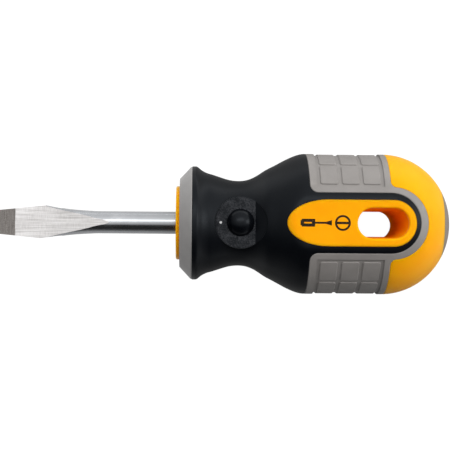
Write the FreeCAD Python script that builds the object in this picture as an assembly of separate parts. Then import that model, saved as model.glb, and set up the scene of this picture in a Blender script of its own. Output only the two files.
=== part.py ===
import FreeCAD, Part
import math
import os
from FreeCAD import Vector as V

# Stubby slotted screwdriver: a fixed steel blade moulded into a multi-colour handle.
#
# Frame (mm): the tool axis is X.  The origin is the centre of the blade's tip face, +X runs from
# the tip to the end of the handle, +Z is the normal of the upper window of the handle, and the
# blade's ground flats face +Z and -Z.  The tool lies on its lower window.
# Pieces: blade, handle core with its two windows and dome, nose bezel, grip sleeve, grip cage
# with its raised pads, end cap.

# ---------------------------------------------------------------- driving dimensions (mm)
# blade
TIP_W = 5.16            # width of the tip at its end face
TIP_T = 0.84            # thickness of the tip at its end face
TIP_LAND = 3.45         # length of the finer ground end
TIP_LAND_T = 1.24       # thickness where the finer ground end begins
TIP_SHIFT = -0.10       # the ground tip sits a little to the -Y side of the bar
FLARE_X = 9.44          # mean station of the widest point of the blade
FLARE_W = 7.02          # width there
FLARE_SKEW = 0.75       # the +Y corner is ground this much further back, the -Y corner further forward
SHANK_D = 4.80          # round bar
FLAT_MID, FLAT_MID_Z = 20.07, 2.24   # the ground flats ease off here
FLAT_END = 23.46         # where the ground flats run out of the bar
TANG_END = 71.5         # end of the bar inside the handle
WING_X0, WING_X1 = 50.0, 57.5
WING_W, WING_T = 8.4, 2.1
# handle stations
NOSE_X = 37.96           # front face of the handle
NOSE_R = 7.9
BEZEL_X0, BEZEL_X1 = 38.73, 41.37
BEZEL_R0, BEZEL_R1 = 9.6, 12.1
RIM_R = 12.2
BODY_R = 15.1
PANEL_X0, PANEL_X1 = 65.76, 82.56
PANEL_LEAN = 0.14       # how far the front edge of each panel runs forward at the side of the handle
DOME_X = 82.22           # centre of the half ellipse that ends the handle
DOME_A = 14.6           # its half length, so the handle ends at DOME_X + DOME_A
SKIN = 1.9              # thickness of the outer shots over the core
# windows
WIN_CX = 83.01          # centre of the concentric arcs round the hanging slot
WIN_R = 4.855            # half width of the window
WIN_NOSE_X = 69.61      # centre of the half ellipse at the front of the window
WIN_NOSE_A = 8.57
WIN_Z = 14.25           # plane of each window
FLAT_BLEND = 4.0        # radius that blends the flats into the round of the handle
LOOP_CX, LOOP_R = 82.52, 6.24   # outer edge of the sleeve's loop, a little forward of the window's end
LOOP_FILLET = 1.7
ARCH_R = 7.47           # outer edge of the cage's arch
ARCH_FILLET = 1.2
# hanging slot
SLOT_X0, SLOT_X1 = 78.72, 83.10
SLOT_R_MID, SLOT_R_FACE = 2.70, 3.16
SLOT_EDGE = 0.40
# thumb rests
REST_X, REST_R, REST_Z = 51.58, 5.43, 9.2
REST_RAMP_X, REST_RAMP_X1, REST_RAMP_Z1 = 54.68, 57.95, 11.5   # the rear of the rest climbs the shoulder
BALL_X, BALL_R, BALL_H = 51.58, 2.90, 1.95
GATE_X, GATE_R, GATE_H = 47.42, 0.26, 0.10      # moulding gate left on the floor of the upper rest
# pads
PAD_X = (69.82, 74.33, 78.74)
PAD_W = 3.70
PAD_ARC = 20.8          # degrees
PAD_PITCH = 23.4        # degrees
PAD_ROWS = (-2, -1, 0, 1, 2)
PAD_TOP_R = 14.98
FIELD_R = 14.74
FIELD_X0, FIELD_X1 = 67.30, 81.33
FIELD_ARC = 59.9        # half angle of the sunk field
# end cap
CAP_R = 7.7
CAP_SEAT_X = 93.4
CAP_SPIGOT_R, CAP_SPIGOT_X = 2.8, 89.6

EDGE = 0.16             # rounded edge where two shots meet

# ---------------------------------------------------------------- helpers


def line(a, b):
    return Part.LineSegment(V(*a), V(*b)).toShape()


def arc(a, m, b):
    return Part.Arc(V(*a), V(*m), V(*b)).toShape()


def spline(points, t0=None, t1=None):
    curve = Part.BSplineCurve()
    pts = [V(x, r, 0) for x, r in points]
    if t0 and t1:
        curve.interpolate(Points=pts, InitialTangent=V(*t0, 0), FinalTangent=V(*t1, 0))
    else:
        curve.interpolate(Points=pts)
    return curve.toShape()


def revolve(edges, angle=360.0):
    face = Part.Face(Part.Wire(Part.__sortEdges__(edges)))
    return face.revolve(V(0, 0, 0), V(1, 0, 0), angle)


def prism(edges, z0=-25.0, z1=25.0):
    wire = Part.Wire(Part.__sortEdges__(edges))
    face = Part.Face(wire)
    face.translate(V(0, 0, z0))
    return face.extrude(V(0, 0, z1 - z0))


def box(x0, x1, y0, y1, z0, z1):
    return Part.makeBox(x1 - x0, y1 - y0, z1 - z0, V(x0, y0, z0))


def rod(x0, x1, r):
    return Part.makeCylinder(r, x1 - x0, V(x0, 0, 0), V(1, 0, 0))


def polygon(points):
    return [line((*points[i], 0), (*points[(i + 1) % len(points)], 0)) for i in range(len(points))]


def tidy(shape):
    """One clean solid, or a compound of them."""
    shape = shape.removeSplitter()
    solids = shape.Solids
    return solids[0] if len(solids) == 1 else Part.makeCompound(solids)


def normal(face, p):
    u, v = face.Surface.parameter(p)
    return face.normalAt(u, v)


def rims(shape, skin, keep=None, angle=25.0):
    """The sharp edges of a piece that lie on the outside surface of the handle."""
    found = []
    for e in shape.Edges:
        if e.Length < 1e-3:
            continue
        a, b = e.ParameterRange
        pts = [e.valueAt(a + (b - a) * k) for k in (0.03, 0.35, 0.65, 0.97)]
        if keep and not all(keep(p) for p in pts):
            continue
        if any(skin.distToShape(Part.Vertex(p))[0] > 0.005 for p in pts):
            continue
        sides = shape.ancestorsOfType(e, Part.Face)
        if len(sides) != 2:
            continue
        if math.degrees(normal(sides[0], pts[1]).getAngle(normal(sides[1], pts[1]))) > angle:
            found.append(e)
    return found


def rounded(shape, radius, edges, name):
    """Rounds the edges, or leaves the piece as it is when they cannot be rounded."""
    if not edges:
        print("no edges:", name)
        return shape
    try:
        made = shape.makeFillet(radius, edges)
        if made.isValid() and len(made.Solids) == 1 and 0 < made.Volume < shape.Volume + 1e-6:
            return made.Solids[0]
        print("fillet refused:", name, len(edges), made.isValid(), len(made.Solids))
    except Exception as fault:
        print("fillet failed:", name, len(edges), str(fault)[:60])
    return shape


def chamfered(shape, size, edges, name):
    """Breaks the edges with a small flat, or leaves the piece as it is."""
    try:
        made = shape.makeChamfer(size, edges)
        if made.isValid() and len(made.Solids) == 1 and 0 < made.Volume < shape.Volume + 1e-6:
            return made.Solids[0]
        print("chamfer refused:", name, len(edges))
    except Exception as fault:
        print("chamfer failed:", name, len(edges), str(fault)[:60])
    return shape


# ---------------------------------------------------------------- blade


def make_blade():
    # outline of the forged end in plan, from the tip to the round bar; its two sides differ a little
    h0, h1, r = TIP_W / 2, FLARE_W / 2, SHANK_D / 2
    past = TANG_END + 2.0
    edges = [line((0, TIP_SHIFT - h0, 0), (0, TIP_SHIFT + h0, 0)), line((past, 3.4, 0), (past, -3.4, 0))]
    for side, mid in ((1, ((11.6, 3.24), (12.5, 3.08))), (-1, ((10.6, 3.27), (12.1, 3.06)))):
        corner = FLARE_X + side * FLARE_SKEW
        neck = [(corner + 0.4, h1 - 0.06), *mid, (13.4, 2.94)]
        edges.append(spline([(x, side * y) for x, y in neck], (1.0, -0.17 * side), (1.0, -0.11 * side)))
        half = [(0.0, h0 + side * TIP_SHIFT), (corner, h1), neck[0]]
        rear = [neck[-1], (15.4, 3.4), (past, 3.4)]
        for run in (half, rear):
            for p, q in zip(run, run[1:]):
                edges.append(line((p[0], side * p[1], 0), (q[0], side * q[1], 0)))
    plan = prism(edges, -4.0, 4.0)
    # round body that the flare is forged from: rounds the sides of the neck
    body = revolve([
        line((0, 0, 0), (0, 4.3, 0)),
        line((0, 4.3, 0), (8.0, 4.3, 0)),
        spline([(8.0, 4.3), (8.8, 4.03), (9.5, 3.80), (10.3, 3.57), (12.0, 3.24), (13.8, 2.96), (15.6, 2.75),
                (17.3, 2.61), (19.0, 2.50), (20.2, 2.44), (21.4, r)], (1.0, -0.36), (1.0, 0.0)),
        line((21.4, r, 0), (TANG_END - 0.6, r, 0)),
        line((TANG_END - 0.6, r, 0), (TANG_END, r - 0.6, 0)),
        line((TANG_END, r - 0.6, 0), (TANG_END, 0, 0)),
        line((TANG_END, 0, 0), (0, 0, 0)),
    ])
    bar = plan.common(body)
    # ground flats, above and below
    t0, t1 = TIP_T / 2, TIP_LAND_T / 2
    slope = (r - FLAT_MID_Z) / (FLAT_END - FLAT_MID)
    flat_pts = [(-1.0, t0 - (t1 - t0) / TIP_LAND), (TIP_LAND, t1), (FLAT_MID, FLAT_MID_Z),
                (FLAT_END + 3.0, r + 3.0 * slope), (FLAT_END + 3.0, 6.0), (-1.0, 6.0)]
    n = len(flat_pts)
    wire = [line((flat_pts[i][0], 0, flat_pts[i][1]),
                 (flat_pts[(i + 1) % n][0], 0, flat_pts[(i + 1) % n][1])) for i in range(n)]
    face = Part.Face(Part.Wire(Part.__sortEdges__(wire)))
    face.translate(V(0, -6, 0))
    upper = face.extrude(V(0, 12, 0))
    bar = bar.cut(upper).cut(upper.mirror(V(0, 0, 0), V(0, 0, 1)))
    # forged wings that stop the bar turning in the handle
    wing = prism(polygon([
        (WING_X0, -r), (WING_X0 + 1.2, -WING_W / 2), (WING_X1 - 1.2, -WING_W / 2), (WING_X1, -r),
        (WING_X1, r), (WING_X1 - 1.2, WING_W / 2), (WING_X0 + 1.2, WING_W / 2), (WING_X0, r),
    ]), -WING_T / 2, WING_T / 2)
    return tidy(bar.fuse(wing))


# ---------------------------------------------------------------- handle envelope

NECK = [(45.81, 10.42), (47.53, 9.86), (49.26, 9.35), (51.31, 9.13), (52.76, 9.26), (54.45, 9.84),
        (55.92, 10.71), (57.12, 11.50), (58.78, 12.36), (60.50, 13.30), (62.23, 14.17), (63.73, 14.77),
        (65.63, BODY_R)]


def envelope_edges():
    """Outside of the whole handle behind the bezel, from the axis at the rim to the end of the dome."""
    e = [
        line((BEZEL_X1, 0, 0), (BEZEL_X1, RIM_R - 0.08, 0)),
        line((BEZEL_X1, RIM_R - 0.08, 0), (BEZEL_X1 + 0.12, RIM_R, 0)),
        line((BEZEL_X1 + 0.12, RIM_R, 0), (42.12, RIM_R, 0)),
        spline([(42.12, RIM_R), (42.57, 12.05), (43.05, 11.66), (43.90, 11.08), (44.84, 10.68),
                (45.81, 10.42)], (1.0, 0.0), (1.0, -0.30)),
        spline(NECK, (1.0, -0.32), (1.0, 0.0)),
        line((65.63, BODY_R, 0), (DOME_X, BODY_R, 0)),
    ]
    ellipse = Part.Ellipse(V(DOME_X, BODY_R, 0), V(DOME_X + DOME_A, 0, 0), V(DOME_X, 0, 0))
    e.append(Part.ArcOfEllipse(ellipse, 0.0, math.pi / 2).toShape())
    e.append(line((DOME_X + DOME_A, 0, 0), (BEZEL_X1, 0, 0)))
    return e


def inner_edges():
    """The core under the outer shots."""
    a, b = DOME_A - SKIN, BODY_R - SKIN
    ellipse = Part.Ellipse(V(DOME_X, b, 0), V(DOME_X + a, 0, 0), V(DOME_X, 0, 0))
    quarter = Part.ArcOfEllipse(ellipse, 0.0, math.pi / 2).toShape()
    return [
        line((NOSE_X, 0, 0), (NOSE_X, NOSE_R - 0.35, 0)),
        arc((NOSE_X, NOSE_R - 0.35, 0), (NOSE_X + 0.1025, NOSE_R - 0.1025, 0), (NOSE_X + 0.35, NOSE_R, 0)),
        line((NOSE_X + 0.35, NOSE_R, 0), (46.2, NOSE_R, 0)),
        line((46.2, NOSE_R, 0), (49.2, 7.15, 0)),
        line((49.2, 7.15, 0), (53.4, 7.15, 0)),
        line((53.4, 7.15, 0), (57.6, 9.5, 0)),
        line((57.6, 9.5, 0), (63.2, 12.3, 0)),
        line((63.2, 12.3, 0), (66.4, b, 0)),
        line((66.4, b, 0), (DOME_X, b, 0)),
        quarter,
        line((DOME_X + a, 0, 0), (NOSE_X, 0, 0)),
    ]


# ---------------------------------------------------------------- plan outlines of the shots


def window_outline():
    n = WIN_NOSE_X
    ellipse = Part.Ellipse(V(n - WIN_NOSE_A, 0, 0), V(n, WIN_R, 0), V(n, 0, 0))
    nose = Part.ArcOfEllipse(ellipse, -math.pi / 2, math.pi / 2).toShape()
    return [
        nose,
        line((n, WIN_R, 0), (WIN_CX, WIN_R, 0)),
        arc((WIN_CX, WIN_R, 0), (WIN_CX + WIN_R, 0, 0), (WIN_CX, -WIN_R, 0)),
        line((WIN_CX, -WIN_R, 0), (n, -WIN_R, 0)),
    ]


def sleeve_outline():
    x, f, r = PANEL_X0, LOOP_FILLET, LOOP_R
    k = f * (1 - math.sqrt(0.5))
    side = x - PANEL_LEAN * (20 - r - f) / (BODY_R - r - f)
    return [
        line((30, -20, 0), (side, -20, 0)),
        line((side, -20, 0), (x, -(r + f), 0)),
        arc((x, -(r + f), 0), (x + k, -(r + k), 0), (x + f, -r, 0)),
        line((x + f, -r, 0), (LOOP_CX, -r, 0)),
        arc((LOOP_CX, -r, 0), (LOOP_CX + r, 0, 0), (LOOP_CX, r, 0)),
        line((LOOP_CX, r, 0), (x + f, r, 0)),
        arc((x + f, r, 0), (x + k, r + k, 0), (x, r + f, 0)),
        line((x, r + f, 0), (side, 20, 0)),
        line((side, 20, 0), (30, 20, 0)),
        line((30, 20, 0), (30, -20, 0)),
    ]


def cage_outline():
    x, f, r, c = PANEL_X1, ARCH_FILLET, ARCH_R, WIN_CX
    fx = x + f
    fy = math.sqrt((r + f) ** 2 - (fx - c) ** 2)
    tx, ty = c + r * (fx - c) / (r + f), r * fy / (r + f)
    ang = (math.pi + math.atan2(ty - fy, tx - fx) % (2 * math.pi)) / 2
    mx, my = fx + f * math.cos(ang), fy + f * math.sin(ang)
    return [
        line((30, -20, 0), (x, -20, 0)),
        line((x, -20, 0), (x, -fy, 0)),
        arc((x, -fy, 0), (mx, -my, 0), (tx, -ty, 0)),
        arc((tx, -ty, 0), (c + r, 0, 0), (tx, ty, 0)),
        arc((tx, ty, 0), (mx, my, 0), (x, fy, 0)),
        line((x, fy, 0), (x, 20, 0)),
        line((x, 20, 0), (30, 20, 0)),
        line((30, 20, 0), (30, -20, 0)),
    ]


def slot_solid():
    def stadium(r, z):
        e = [
            line((SLOT_X0, r, z), (SLOT_X1, r, z)),
            arc((SLOT_X1, r, z), (SLOT_X1 + r, 0, z), (SLOT_X1, -r, z)),
            line((SLOT_X1, -r, z), (SLOT_X0, -r, z)),
            arc((SLOT_X0, -r, z), (SLOT_X0 - r, 0, z), (SLOT_X0, r, z)),
        ]
        return Part.Wire(Part.__sortEdges__(e))
    top = SLOT_R_MID + (SLOT_R_FACE - SLOT_R_MID) * 16.0 / WIN_Z
    halves = [Part.makeLoft([stadium(SLOT_R_MID, 0), stadium(top, s * 16.0)], True, True) for s in (1, -1)]
    return halves[0].fuse(halves[1])


# ---------------------------------------------------------------- pads


def sector(x0, x1, r0, r1, mid, half):
    """A piece of a ring about X between two radii, mid and half in degrees, 90 being +Y towards +Z."""
    e = [
        line((x0, r0, 0), (x0, r1, 0)), line((x0, r1, 0), (x1, r1, 0)),
        line((x1, r1, 0), (x1, r0, 0)), line((x1, r0, 0), (x0, r0, 0)),
    ]
    s = revolve(e, 2 * half)
    s.rotate(V(0, 0, 0), V(1, 0, 0), mid - half)
    return s


def pad():
    """A raised pad at x = 0, centred on +Y."""
    half = PAD_ARC / 2
    p = sector(-PAD_W / 2, PAD_W / 2, 14.0, PAD_TOP_R, 0.0, half)
    upright = [e for e in p.Edges if abs(e.BoundBox.YLength) > 0.5 and e.BoundBox.XLength < 1e-6 and e.BoundBox.ZLength < 0.5]
    p = p.makeFillet(0.45, upright)
    top = [e for e in p.Edges if e.BoundBox.YMin > PAD_TOP_R * math.cos(math.radians(half)) - 0.02
           and all(abs(math.hypot(q.Y, q.Z) - PAD_TOP_R) < 1e-3 for q in e.Vertexes)
           and abs(math.hypot(e.CenterOfMass.y, e.CenterOfMass.z) - PAD_TOP_R) < 0.3]
    return p.makeFillet(0.22, top)


# ---------------------------------------------------------------- the pieces


def main():
    os.makedirs("parts", exist_ok=True)
    blade = make_blade()

    env = revolve(envelope_edges()).common(box(0, 110, -30, 30, -WIN_Z, WIN_Z))
    border = [e for e in env.Edges if abs(abs(e.CenterOfMass.z) - WIN_Z) < 1e-4
              and all(abs(abs(v.Z) - WIN_Z) < 1e-4 for v in e.Vertexes)]
    env = env.makeFillet(FLAT_BLEND, border)
    inner = revolve(inner_edges())
    window = prism(window_outline())
    black = prism(sleeve_outline())
    grey = prism(cage_outline())
    shell = env.cut(inner)

    # end cap: a disc with a spigot, flush with the dome
    cap_tool = rod(CAP_SEAT_X, 100, CAP_R)
    spigot = rod(CAP_SPIGOT_X, CAP_SEAT_X + 0.01, CAP_SPIGOT_R)
    cut = math.acos(CAP_R / BODY_R)
    bulge = Part.Ellipse(V(DOME_X, BODY_R, 0), V(DOME_X + DOME_A, 0, 0), V(DOME_X, 0, 0))
    top = bulge.value(cut)
    cap = revolve([
        line((CAP_SPIGOT_X, 0, 0), (CAP_SPIGOT_X, CAP_SPIGOT_R, 0)),
        line((CAP_SPIGOT_X, CAP_SPIGOT_R, 0), (CAP_SEAT_X, CAP_SPIGOT_R, 0)),
        line((CAP_SEAT_X, CAP_SPIGOT_R, 0), (CAP_SEAT_X, CAP_R, 0)),
        line((CAP_SEAT_X, CAP_R, 0), (top.x, CAP_R, 0)),
        Part.ArcOfEllipse(bulge, cut, math.pi / 2).toShape(),
        line((DOME_X + DOME_A, 0, 0), (CAP_SPIGOT_X, 0, 0)),
    ])
    cap = rounded(cap, 0.14, [e for e in cap.Edges if abs(e.Vertexes[0].X - top.x) < 1e-6
                              and abs(e.Vertexes[-1].X - top.x) < 1e-6 and e.Length > 20], "cap rim")

    # handle core: hub, windows, dome
    dome_zone = box(PANEL_X1, 110, -30, 30, -30, 30)
    dome = env.common(dome_zone).cut(grey).cut(black)
    posts = env.common(window)
    core = inner.fuse([dome, posts])
    core = core.cut(cap_tool).cut(spigot)
    core = core.cut(slot_solid())
    core = tidy(core.cut(blade))
    skin = env.Shells[0]
    front = lambda p: p.x < 90 and abs(p.y) < 5.5
    inside_slot = lambda p: abs(p.y) < SLOT_R_FACE + 0.6 and 75.0 < p.x < 86.9
    core = rounded(core, SLOT_EDGE, rims(core, skin, inside_slot), "slot")
    for s in (1, -1):
        rim = rims(core, skin, lambda p: front(p) and not inside_slot(p) and s * p.z > 0)
        core = chamfered(core, EDGE, rim, "window rim")
    core = rounded(core, EDGE, rims(core, skin, lambda p: not front(p) and p.x < 94), "dome rim")

    # black shot
    sleeve = shell.common(black).cut(window)
    for s in (1, -1):
        # the boss narrows and the pocket widens away from the axis, so both leave the mould
        post = Part.makeCone(REST_R + 0.40, REST_R, REST_Z + 0.01, V(REST_X, 0, 0), V(0, 0, s))
        post = post.fuse(Part.makeCylinder(REST_R, 5.0, V(REST_X, 0, s * REST_Z), V(0, 0, s)))
        pocket = Part.makeCone(REST_R - 0.02, REST_R + 0.30, 5.0, V(REST_X, 0, s * (REST_Z - 0.2)), V(0, 0, s))
        wire = polygon([(40, 0), (40, REST_Z), (REST_RAMP_X, REST_Z), (REST_RAMP_X1, REST_RAMP_Z1),
                        (REST_RAMP_X1, 0)])
        low = Part.Face(Part.Wire(Part.__sortEdges__(wire)))
        low.rotate(V(0, 0, 0), V(1, 0, 0), 90 * s)
        low.translate(V(0, 10, 0))
        low = low.extrude(V(0, -20, 0))
        above = pocket.cut(low)
        below = post.common(low).cut(inner)
        rs = (BALL_R ** 2 + BALL_H ** 2) / (2 * BALL_H)
        ball = Part.makeSphere(rs, V(BALL_X, 0, s * (REST_Z + BALL_H - rs)))
        ball = ball.common(Part.makeCylinder(6, 8, V(BALL_X, 0, s * (REST_Z - 0.4)), V(0, 0, s)))
        sleeve = sleeve.cut(above).fuse([below, ball])
    sleeve = sleeve.fuse(Part.makeCylinder(GATE_R, 0.4 + GATE_H, V(GATE_X, 0, REST_Z - 0.4)))
    sleeve = tidy(sleeve)
    for s in (1, -1):
        outer = [e for e in rims(sleeve, skin, lambda p: p.x > 60 and s * p.z > 0)
                 if all(abs(v.Y) > 5.9 or v.X > LOOP_CX + LOOP_R - 0.3 for v in e.Vertexes)]
        sleeve = rounded(sleeve, EDGE, outer, "sleeve rim")

    # grey shot: bezel in front, cage behind
    bezel = revolve(polygon([
        (BEZEL_X0, NOSE_R), (BEZEL_X0, BEZEL_R0 - 0.12), (BEZEL_X0 + 0.10, BEZEL_R0),
        (BEZEL_X1 - 0.28, BEZEL_R1 - 0.10), (BEZEL_X1 - 0.10, BEZEL_R1 - 0.02), (BEZEL_X1, BEZEL_R1 - 0.02),
        (BEZEL_X1, NOSE_R),
    ]))
    cage = tidy(shell.common(grey).cut(black).cut(window))
    cage = rounded(cage, EDGE, rims(cage, skin), "cage rim")
    one = pad()
    for side in (90, -90):
        # PAD angles are measured from the panel's middle, which is +Y or -Y
        mid = 0 if side == 90 else 180
        field = sector(FIELD_X0, FIELD_X1, FIELD_R, 16.5, mid, FIELD_ARC)
        cage = cage.cut(field)
        pads = []
        for px in PAD_X:
            for row in PAD_ROWS:
                q = one.copy()
                q.translate(V(px, 0, 0))
                q.rotate(V(0, 0, 0), V(1, 0, 0), mid + row * PAD_PITCH)
                pads.append(q)
        cage = cage.fuse(pads)
    cage = tidy(cage)

    made = {"blade": blade, "handle_core": core, "grip_sleeve": sleeve, "grip_cage": cage,
            "nose_bezel": bezel, "end_cap": cap}
    for name, shape in made.items():
        print(f"{name:12s} valid {shape.isValid()} solids {len(shape.Solids)} faces {len(shape.Faces)} volume {shape.Volume:.1f}"
              f" box {shape.BoundBox.XMin:.2f}..{shape.BoundBox.XMax:.2f} {shape.BoundBox.YMin:.2f}..{shape.BoundBox.YMax:.2f}"
              f" {shape.BoundBox.ZMin:.2f}..{shape.BoundBox.ZMax:.2f}")
    names = list(made)
    for i, a in enumerate(names):
        for b in names[i + 1:]:
            v = made[a].common(made[b]).Volume
            if v > 1e-3:
                print("overlap", a, b, round(v, 4))
    for name, shape in made.items():
        shape.exportStep(f"parts/{name}.step")


main()
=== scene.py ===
import bpy
import math
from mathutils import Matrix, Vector


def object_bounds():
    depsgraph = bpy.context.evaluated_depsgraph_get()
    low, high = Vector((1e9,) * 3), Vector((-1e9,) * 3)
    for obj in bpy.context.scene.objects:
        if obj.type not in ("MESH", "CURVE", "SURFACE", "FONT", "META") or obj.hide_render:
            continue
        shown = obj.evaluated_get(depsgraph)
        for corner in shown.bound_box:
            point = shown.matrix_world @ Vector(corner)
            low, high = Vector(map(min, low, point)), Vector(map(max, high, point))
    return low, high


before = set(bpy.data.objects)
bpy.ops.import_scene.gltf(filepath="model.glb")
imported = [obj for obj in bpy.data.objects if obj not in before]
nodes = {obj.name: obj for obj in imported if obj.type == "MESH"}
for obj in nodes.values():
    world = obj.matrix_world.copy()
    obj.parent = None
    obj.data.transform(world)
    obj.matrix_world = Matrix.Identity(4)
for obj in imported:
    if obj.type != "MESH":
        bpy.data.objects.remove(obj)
cad_box = [list(map(float, c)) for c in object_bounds()]
MM = 0.001
scene = bpy.context.scene


# ------------------------------------------------------------------ node helpers

class Mat:
    """A node material with the coordinates of the object in millimetres."""

    def __init__(self, name):
        self.m = bpy.data.materials.new(name)
        self.m.use_nodes = True
        self.t = self.m.node_tree
        self.bsdf = self.t.nodes["Principled BSDF"]
        co = self.t.nodes.new("ShaderNodeTexCoord")
        mp = self.t.nodes.new("ShaderNodeMapping")
        mp.inputs["Scale"].default_value = (1000, 1000, 1000)
        self.t.links.new(co.outputs["Object"], mp.inputs["Vector"])
        self.mm = mp.outputs["Vector"]
        sep = self.t.nodes.new("ShaderNodeSeparateXYZ")
        self.t.links.new(self.mm, sep.inputs[0])
        self.x, self.y, self.z = sep.outputs

    def put(self, sock, v):
        if isinstance(v, bpy.types.NodeSocket):
            self.t.links.new(v, sock)
        elif isinstance(v, (tuple, list)) and len(v) == 3 and len(sock.default_value) == 4:
            sock.default_value = (*v, 1.0)
        else:
            sock.default_value = v

    def set(self, **kw):
        for k, v in kw.items():
            self.put(self.bsdf.inputs[k.replace("_", " ")], v)
        return self

    def math(self, op, a, b=0.0, c=0.0, clamp=False):
        n = self.t.nodes.new("ShaderNodeMath")
        n.operation = op
        n.use_clamp = clamp
        for i, v in enumerate((a, b, c)):
            self.put(n.inputs[i], v)
        return n.outputs[0]

    def step(self, v, lo, hi, a=0.0, b=1.0, smooth=True):
        """a below lo, b above hi, a soft step between them."""
        n = self.t.nodes.new("ShaderNodeMapRange")
        n.interpolation_type = "SMOOTHSTEP" if smooth else "LINEAR"
        n.clamp = True
        self.put(n.inputs["Value"], v)
        for k, w in (("From Min", lo), ("From Max", hi), ("To Min", a), ("To Max", b)):
            self.put(n.inputs[k], w)
        return n.outputs["Result"]

    def noise(self, scale=1.0, detail=3.0, rough=0.55, vec=None, stretch=None, distortion=0.0):
        v = vec or self.mm
        if stretch:
            mp = self.t.nodes.new("ShaderNodeMapping")
            mp.inputs["Scale"].default_value = stretch
            self.t.links.new(v, mp.inputs["Vector"])
            v = mp.outputs["Vector"]
        n = self.t.nodes.new("ShaderNodeTexNoise")
        self.t.links.new(v, n.inputs["Vector"])
        n.inputs["Scale"].default_value = scale
        n.inputs["Detail"].default_value = detail
        n.inputs["Roughness"].default_value = rough
        n.inputs["Distortion"].default_value = distortion
        return n.outputs["Fac"]

    def mix(self, f, a, b):
        n = self.t.nodes.new("ShaderNodeMix")
        n.data_type = "RGBA"
        n.clamp_factor = True
        self.put(n.inputs[0], f)
        self.put(n.inputs[6], a)
        self.put(n.inputs[7], b)
        return n.outputs[2]

    def mixf(self, f, a, b):
        n = self.t.nodes.new("ShaderNodeMix")
        n.data_type = "FLOAT"
        self.put(n.inputs[0], f)
        self.put(n.inputs[2], a)
        self.put(n.inputs[3], b)
        return n.outputs[0]

    def bump(self, height, strength, distance_mm, normal=None):
        n = self.t.nodes.new("ShaderNodeBump")
        n.inputs["Distance"].default_value = distance_mm * MM
        self.put(n.inputs["Strength"], strength)
        self.put(n.inputs["Height"], height)
        if normal is not None:
            self.put(n.inputs["Normal"], normal)
        return n.outputs["Normal"]

    def edge_highlight_mask(self):
        """0 on flat skin, towards 1 on a convex edge: the mask of a painted edge highlight."""
        g = self.t.nodes.new("ShaderNodeNewGeometry")
        return self.step(g.outputs["Pointiness"], 0.5, 0.62)


def rgb(r, g, b):
    """sRGB 0-255 to linear."""
    f = lambda c: (c / 255 / 12.92) if c / 255 <= 0.04045 else ((c / 255 + 0.055) / 1.055) ** 2.4
    return (f(r), f(g), f(b))


# ------------------------------------------------------------------ materials

def steel():
    m = Mat("steel")
    az = m.math("ABSOLUTE", m.z)
    s1, s2 = (2.24 - 0.62) / (20.07 - 3.45), (2.4 - 2.24) / (23.46 - 20.07)
    first = m.math("MULTIPLY_ADD", m.math("SUBTRACT", m.x, 3.45), s1, 0.62)
    second = m.math("MULTIPLY_ADD", m.math("SUBTRACT", m.x, 20.07), s2, 2.24)
    off = m.math("ABSOLUTE", m.math("SUBTRACT", az, m.math("MINIMUM", first, second)))
    front = m.math("LESS_THAN", m.x, 23.55)
    ground = m.math("MULTIPLY", m.math("LESS_THAN", off, 0.012), front)
    tip = m.math("LESS_THAN", m.math("ADD", m.x, m.math("MULTIPLY", m.noise(0.9, 2), 0.12)), 3.52)
    # long grinding marks, along the blade on the flats and across it on the finer ground end
    streak = m.noise(1.0, 4, 0.62, stretch=(0.10, 7.5, 0.0))
    fine = m.noise(1.0, 3, 0.6, stretch=(0.22, 21.0, 0.0))
    across = m.noise(1.0, 3, 0.6, stretch=(9.0, 0.55, 0.0))
    hatch = m.noise(1.0, 3, 0.6, stretch=(13.0, 0.35, 0.0))
    grain = m.noise(7.0, 4, 0.65)
    cloud = m.noise(0.35, 3, 0.5)
    marks = m.math("ADD", m.math("MULTIPLY", streak, 0.58), m.math("MULTIPLY", fine, 0.24))
    marks = m.math("MULTIPLY_ADD", across, 0.18, marks)
    col_round = m.mix(m.step(cloud, 0.35, 0.7), (0.37, 0.38, 0.395), (0.42, 0.43, 0.445))
    # painted shade: the round bar is painted darker towards the nose
    col_round = m.mix(m.step(m.x, 25.0, 37.5), col_round, (0.335, 0.345, 0.358))
    mark = m.step(marks, 0.40, 0.60)
    # painted shade: the ground flats go from the near colours to darker colours away from the tip
    near = m.mix(mark, (0.41, 0.394, 0.389), (0.74, 0.726, 0.721))
    far_painted_shade = m.mix(mark, (0.37, 0.355, 0.35), (0.66, 0.648, 0.642))
    col_ground = m.mix(m.step(m.x, 6.0, 17.0), near, far_painted_shade)
    col_tip = m.mix(m.step(m.math("ADD", m.math("MULTIPLY", hatch, 0.5), m.math("MULTIPLY", grain, 0.5)), 0.38, 0.62),
                    (0.11, 0.099, 0.092), (0.25, 0.232, 0.218))
    col = m.mix(ground, col_round, col_ground)
    col = m.mix(tip, col, col_tip)
    rough_ground = m.mixf(marks, 0.26, 0.50)
    rough_round = m.mixf(cloud, 0.20, 0.28)
    rough = m.mixf(tip, m.mixf(ground, rough_round, rough_ground), 0.55)
    h = m.mixf(ground, m.math("MULTIPLY", m.noise(1.0, 3, 0.6, stretch=(0.12, 6.0, 6.0)), 0.12), marks)
    h = m.mixf(tip, h, m.math("ADD", m.math("MULTIPLY", grain, 0.6), m.math("MULTIPLY", hatch, 0.6)))
    m.set(Base_Color=col, Metallic=m.mixf(tip, 1.0, 0.75), Roughness=rough,
          Normal=m.bump(h, 0.35, 0.02))
    return m.m


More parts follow.
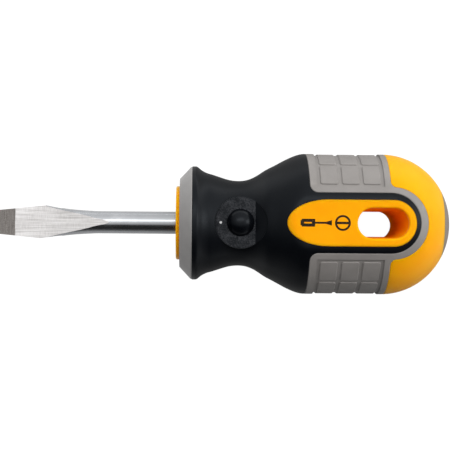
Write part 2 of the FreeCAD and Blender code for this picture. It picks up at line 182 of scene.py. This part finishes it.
def yellow():
    m = Mat("yellow_plastic")
    cloud = m.noise(0.16, 3, 0.5)
    speck = m.noise(5.5, 4, 0.6)
    base = m.mix(m.step(cloud, 0.3, 0.7), (0.985, 0.390, 0.0030), (0.965, 0.366, 0.0022))
    # painted shade and painted glow: the walls of the hanging slot are painted a deeper, darker orange, with a weak
    # emission and a dimmed, tinted reflection
    sx = m.math("SUBTRACT", m.math("ABSOLUTE", m.math("SUBTRACT", m.x, 80.91)), 2.19)
    sx = m.math("MAXIMUM", sx, 0.0)
    in_slot = m.math("SQRT", m.math("ADD", m.math("MULTIPLY", sx, sx), m.math("MULTIPLY", m.y, m.y)))
    slot_shade_glow_mask = m.math("MULTIPLY", m.step(in_slot, 3.55, 3.10), m.step(m.math("ABSOLUTE", m.z), 14.2, 12.6))
    base = m.mix(slot_shade_glow_mask, base, (1.0, 0.30, 0.0015))
    # generic print on each window: a slotted screwdriver and a slotted screw head
    k = 1.0127
    px = m.math("MULTIPLY_ADD", m.x, 1 / k, 63.95 - 63.73 / k)
    py = m.math("MULTIPLY", m.y, 1 / k)
    ay = m.math("ABSOLUTE", py)

    def slab(x0, x1, h, soft=0.04):
        over = m.math("SUBTRACT", m.math("ABSOLUTE", m.math("SUBTRACT", px, (x0 + x1) / 2)), (x1 - x0) / 2)
        tall = m.math("SUBTRACT", ay, h)
        return m.step(m.math("MAXIMUM", over, tall), soft, 0.0)

    dx = m.math("SUBTRACT", px, 72.55)
    r = m.math("SQRT", m.math("ADD", m.math("MULTIPLY", dx, dx), m.math("MULTIPLY", py, py)))
    ring = m.math("MULTIPLY", m.step(r, 1.16, 1.20), m.step(r, 1.64, 1.60))
    bar = m.math("MULTIPLY", m.step(ay, 0.28, 0.24), m.step(r, 1.64, 1.60))
    wedge = m.math("MULTIPLY", slab(69.1, 70.3, 1.0), m.step(m.math("SUBTRACT", ay, m.math("MULTIPLY", m.math("SUBTRACT", px, 69.1), 0.30)), 0.22, 0.18))
    grip = m.math("MAXIMUM", slab(64.2, 66.9, 0.78), slab(63.95, 66.55, 0.52))
    grip = m.math("MULTIPLY", grip, m.math("SUBTRACT", 1.0, slab(64.7, 66.2, 0.12)))
    tool = m.math("MAXIMUM", m.math("MAXIMUM", grip, slab(66.9, 69.2, 0.19)), wedge)
    ink = m.math("MAXIMUM", m.math("MAXIMUM", ring, bar), tool)
    ink = m.math("MULTIPLY", ink, m.math("GREATER_THAN", m.math("ABSOLUTE", m.z), 14.0))
    ink = m.math("MULTIPLY", ink, m.step(m.noise(9.0, 2), 0.22, 0.34))
    col = m.mix(ink, base, (0.016, 0.014, 0.013))
    h = m.math("ADD", m.math("MULTIPLY", speck, 0.5), m.math("MULTIPLY", m.noise(1.1, 2), 0.6))
    # in the slot: painted glow from a weak emission, and a painted, dimmed and tinted reflection
    m.set(Base_Color=col, Roughness=m.mixf(cloud, 0.30, 0.40), Normal=m.bump(h, 0.10, 0.03),
          Subsurface_Weight=0.80, Subsurface_Scale=0.0018, Subsurface_Radius=(1.0, 0.88, 0.20),
          IOR=1.33, Specular_Tint=m.mix(slot_shade_glow_mask, (1.0, 0.68, 0.15), (0.5, 0.12, 0.01)),
          Specular_IOR_Level=m.mixf(slot_shade_glow_mask, 0.24, 0.0),
          Emission_Color=(1.0, 0.16, 0.0), Emission_Strength=m.mixf(slot_shade_glow_mask, 0.0, 0.012))
    return m.m


def black():
    m = Mat("black_soft")
    # the textured floor of each thumb rest, and its polished button
    dx = m.math("SUBTRACT", m.x, 51.58)
    rr = m.math("SQRT", m.math("ADD", m.math("MULTIPLY", dx, dx), m.math("MULTIPLY", m.y, m.y)))
    az = m.math("ABSOLUTE", m.z)
    flat = m.math("LESS_THAN", m.math("ABSOLUTE", m.math("SUBTRACT", az, 9.2)), 0.012)
    grit = m.noise(4.2, 5, 0.8)
    patch = m.noise(0.55, 2, 0.5)
    rest = m.math("MULTIPLY", flat, m.step(m.math("MULTIPLY_ADD", patch, 0.35, rr), 5.68, 5.38))
    near = m.math("MULTIPLY", m.math("LESS_THAN", rr, 3.0), m.math("LESS_THAN", az, 11.3))
    ball = m.math("MULTIPLY", near, m.step(az, 9.21, 9.24))
    # small moulding gate on the floor of the upper rest, painted pale grey as a painted glint
    gx = m.math("SUBTRACT", m.x, 47.42)
    gate_painted_glint = m.math("LESS_THAN", m.math("SQRT", m.math("ADD", m.math("MULTIPLY", gx, gx), m.math("MULTIPLY", m.y, m.y))), 0.27)
    gate_painted_glint = m.math("MULTIPLY", gate_painted_glint, m.math("GREATER_THAN", m.z, 9.28))
    cell = m.t.nodes.new("ShaderNodeTexVoronoi")
    m.t.links.new(m.mm, cell.inputs["Vector"])
    cell.inputs["Scale"].default_value = 2.6
    skin = m.noise(3.2, 4, 0.6)
    cloud = m.noise(0.22, 3, 0.5)
    col = m.mix(m.step(cloud, 0.3, 0.7), (0.0012, 0.0016, 0.0026), (0.0020, 0.0025, 0.0036))
    tex = m.math("ADD", m.math("MULTIPLY", grit, 0.8), m.math("MULTIPLY", patch, 0.2))
    col = m.mix(rest, col, m.mix(m.step(tex, 0.44, 0.60), (0.0045, 0.0050, 0.0062), (0.037, 0.038, 0.042)))
    # painted highlight: the gate's glint is painted in as pale grey
    col = m.mix(gate_painted_glint, col, (0.55, 0.55, 0.55))
    rough = m.mixf(rest, m.mixf(skin, 0.31, 0.40), 0.66)
    rough = m.mixf(ball, rough, 0.27)
    h = m.mixf(rest, m.math("MULTIPLY", skin, 0.35), m.math("ADD", grit, m.math("MULTIPLY", cell.outputs["Distance"], 0.7)))
    m.set(Base_Color=col, Roughness=rough, Normal=m.bump(h, m.mixf(ball, m.mixf(rest, 0.16, 0.6), 0.0), 0.05),
          IOR=1.25, Specular_Tint=(0.84, 0.92, 1.0))
    return m.m


def grey(name, lo, hi, rough=(0.42, 0.55), bump=0.18):
    m = Mat(name)
    cloud = m.noise(0.25, 3, 0.5)
    speck = m.noise(4.5, 5, 0.7)
    col = m.mix(m.step(cloud, 0.3, 0.7), lo, hi)
    # painted highlight: convex edges are painted lighter
    col = m.mix(m.math("MULTIPLY", m.edge_highlight_mask(), 0.35), col, tuple(min(1, c * 1.35) for c in hi))
    m.set(Base_Color=col, Roughness=m.mixf(speck, *rough), Normal=m.bump(speck, bump, 0.04), IOR=1.47,
          Sheen_Weight=0.04)
    return m.m


def paint(name, mat):
    o = nodes[name]
    o.data.materials.clear()
    o.data.materials.append(mat)


GREY_LO, GREY_HI = rgb(125, 121, 118), rgb(131, 127, 124)
paint("blade", steel())
paint("handle_core", yellow())
paint("grip_sleeve", black())
paint("grip_cage", grey("grey_soft", GREY_LO, GREY_HI))
paint("nose_bezel", grey("grey_bezel", rgb(134, 132, 131), rgb(141, 139, 138), (0.34, 0.44), 0.10))
paint("end_cap", grey("grey_cap", rgb(117, 105, 95), rgb(123, 111, 101), (0.34, 0.46), 0.12))

# ------------------------------------------------------------------ floor, light, camera

FLOOR_Z = cad_box[0][2]
bpy.ops.mesh.primitive_plane_add(size=1.6, location=(0.0486, 0, FLOOR_Z - 0.00002))
floor = bpy.context.object
floor.name = "floor"
fm = bpy.data.materials.new("floor_white")
fm.use_nodes = True
ft = fm.node_tree
fb = ft.nodes["Principled BSDF"]
fb.inputs["Base Color"].default_value = (0.07, 0.07, 0.07, 1)
fb.inputs["Roughness"].default_value = 0.9
fb.inputs["Specular IOR Level"].default_value = 0.0
fb.inputs["Emission Color"].default_value = (1, 1, 1, 1)


def fnode(kind, **inputs):
    n = ft.nodes.new(kind)
    for k, v in inputs.items():
        sock = n.inputs[k.replace("_", " ")]
        if isinstance(v, bpy.types.NodeSocket):
            ft.links.new(v, sock)
        else:
            sock.default_value = v
    return n


def framp(v, lo, hi, a, b):
    n = fnode("ShaderNodeMapRange", Value=v, From_Min=lo, From_Max=hi, To_Min=a, To_Max=b)
    n.interpolation_type = "SMOOTHSTEP"
    return n.outputs["Result"]


def fmath(op, a, b):
    n = ft.nodes.new("ShaderNodeMath")
    n.operation = op
    for k, v in enumerate((a, b)):
        if isinstance(v, bpy.types.NodeSocket):
            ft.links.new(v, n.inputs[k])
        else:
            n.inputs[k].default_value = v
    return n.outputs[0]


# painted light: the floor emits light by position in place of the light it would throw back, strong far behind and
# past the handle, strong beside the blade, weak in front; to the camera it is an even white
fxyz = ft.nodes.new("ShaderNodeSeparateXYZ")
ft.links.new(ft.nodes.new("ShaderNodeTexCoord").outputs["Object"], fxyz.inputs[0])
fx, fy = fxyz.outputs["X"], fxyz.outputs["Y"]
behind = fmath("MULTIPLY", framp(fy, 0.0, 0.17, 0.18, 1.7), framp(fx, 0.03, 0.09, 1.0, 1.7))
front = fmath("MULTIPLY", framp(fy, -0.30, -0.06, 0.50, 0.02), framp(fx, 0.03, 0.09, 0.9, 2.2))
beside = fmath("MULTIPLY", framp(fx, -0.016, -0.002, 1.0, 0.0), fmath("MULTIPLY", framp(fmath("ABSOLUTE", fy, 0.0), 0.04, 0.10, 1.0, 0.0), framp(fy, -0.01, 0.01, 0.38, 0.66)))
after = framp(fx, 0.038, 0.10, 0.0, 0.9)
floor_painted_glow = fmath("ADD", fmath("MAXIMUM", fmath("MAXIMUM", behind, front), after), beside)
lp = ft.nodes.new("ShaderNodeLightPath")
seen = fnode("ShaderNodeMapRange", Value=lp.outputs["Is Camera Ray"], To_Min=floor_painted_glow, To_Max=1.0)
ft.links.new(seen.outputs["Result"], fb.inputs["Emission Strength"])
floor.data.materials.append(fm)


def area(name, loc, target, size, power, color=(1, 1, 1), size_y=None):
    d = bpy.data.lights.new(name, "AREA")
    d.shape = "RECTANGLE"
    d.size, d.size_y = size, size_y or size
    d.energy = power
    d.color = color
    o = bpy.data.objects.new(name, d)
    o.location = loc
    o.rotation_euler = (Vector(target) - Vector(loc)).to_track_quat("-Z", "Y").to_euler()
    scene.collection.objects.link(o)
    return o


MID = (0.055, 0.0, 0.0)
area("key", (0.03, 0.27, 0.62), MID, 0.70, 1.10, size_y=0.22)
area("tail", (0.56, 0.07, 0.33), MID, 0.22, 0.75, size_y=0.30)

# a studio dome: bright overhead and behind, a dark side in front, by direction about the X axis
w = bpy.data.worlds.new("studio")
scene.world = w
w.use_nodes = True
wt = w.node_tree
bg = wt.nodes["Background"]
tc = wt.nodes.new("ShaderNodeTexCoord")
sp = wt.nodes.new("ShaderNodeSeparateXYZ")
wt.links.new(tc.outputs["Generated"], sp.inputs[0])


def wmath(op, a, b=0.0, c=0.0):
    n = wt.nodes.new("ShaderNodeMath")
    n.operation = op
    for k, v in enumerate((a, b, c)):
        if isinstance(v, bpy.types.NodeSocket):
            wt.links.new(v, n.inputs[k])
        else:
            n.inputs[k].default_value = v
    return n.outputs[0]


DOME = ((-180, 0.10), (-110, 0.10), (-86, 0.04), (-67, 0.010), (-36, 0.010), (-29, 0.05), (-20, 0.30), (0, 0.46),
        (15, 0.62), (35, 0.62), (60, 0.50), (100, 0.42), (140, 0.25), (180, 0.10))
DOME_GAIN = 2.55
SIDE_FRONT, SIDE_BACK = 0.08, 0.50
angle = wmath("ARCTAN2", sp.outputs["Y"], sp.outputs["Z"])
ramp = wt.nodes.new("ShaderNodeValToRGB")
ramp.color_ramp.interpolation = "EASE"
els = ramp.color_ramp.elements
while len(els) > 1:
    els.remove(els[-1])
for k, (deg, v) in enumerate(DOME):
    e = els[0] if k == 0 else els.new((deg + 180) / 360)
    e.position = (deg + 180) / 360
    e.color = (v, v, v, 1)
wt.links.new(wmath("MULTIPLY_ADD", angle, 0.5 / math.pi, 0.5), ramp.inputs["Fac"])
across = wmath("MULTIPLY", sp.outputs["X"], sp.outputs["X"])
level = wmath("MULTIPLY", ramp.outputs["Color"], wmath("SUBTRACT", 1.0, across))
side = wmath("MULTIPLY_ADD", wmath("GREATER_THAN", sp.outputs["X"], 0.0), SIDE_BACK - SIDE_FRONT, SIDE_FRONT)
side = wmath("MULTIPLY", side, wmath("MULTIPLY_ADD", ramp.outputs["Color"], 1.6, 0.36))
level = wmath("ADD", level, wmath("MULTIPLY", across, side))
wlp = wt.nodes.new("ShaderNodeLightPath").outputs["Is Camera Ray"]
level = wmath("MULTIPLY", wmath("MULTIPLY", level, DOME_GAIN), wmath("SUBTRACT", 1.0, wlp))
wt.links.new(wmath("MULTIPLY_ADD", wlp, 1.0, level), bg.inputs["Strength"])
bg.inputs["Color"].default_value = (1, 1, 1, 1)

cam = bpy.data.cameras.new("cam")
cam.sensor_width = 36
cam.lens = 107.115
cam.clip_start, cam.clip_end = 0.01, 10
co = bpy.data.objects.new("cam", cam)
DIST = 0.289
ROLL = math.radians(0.9)      # the camera stands slightly towards -Y
YAW = math.radians(1.2903)    # and in line with the nose, turned a little towards the handle
co.location = (0.0420, -0.00039 - DIST * math.sin(ROLL), DIST * math.cos(ROLL))
co.rotation_mode = "ZXY"
co.rotation_euler = (ROLL, -YAW, math.radians(0.43))
scene.collection.objects.link(co)
scene.camera = co
scene.view_settings.view_transform = "Standard"
scene.view_settings.look = "None"
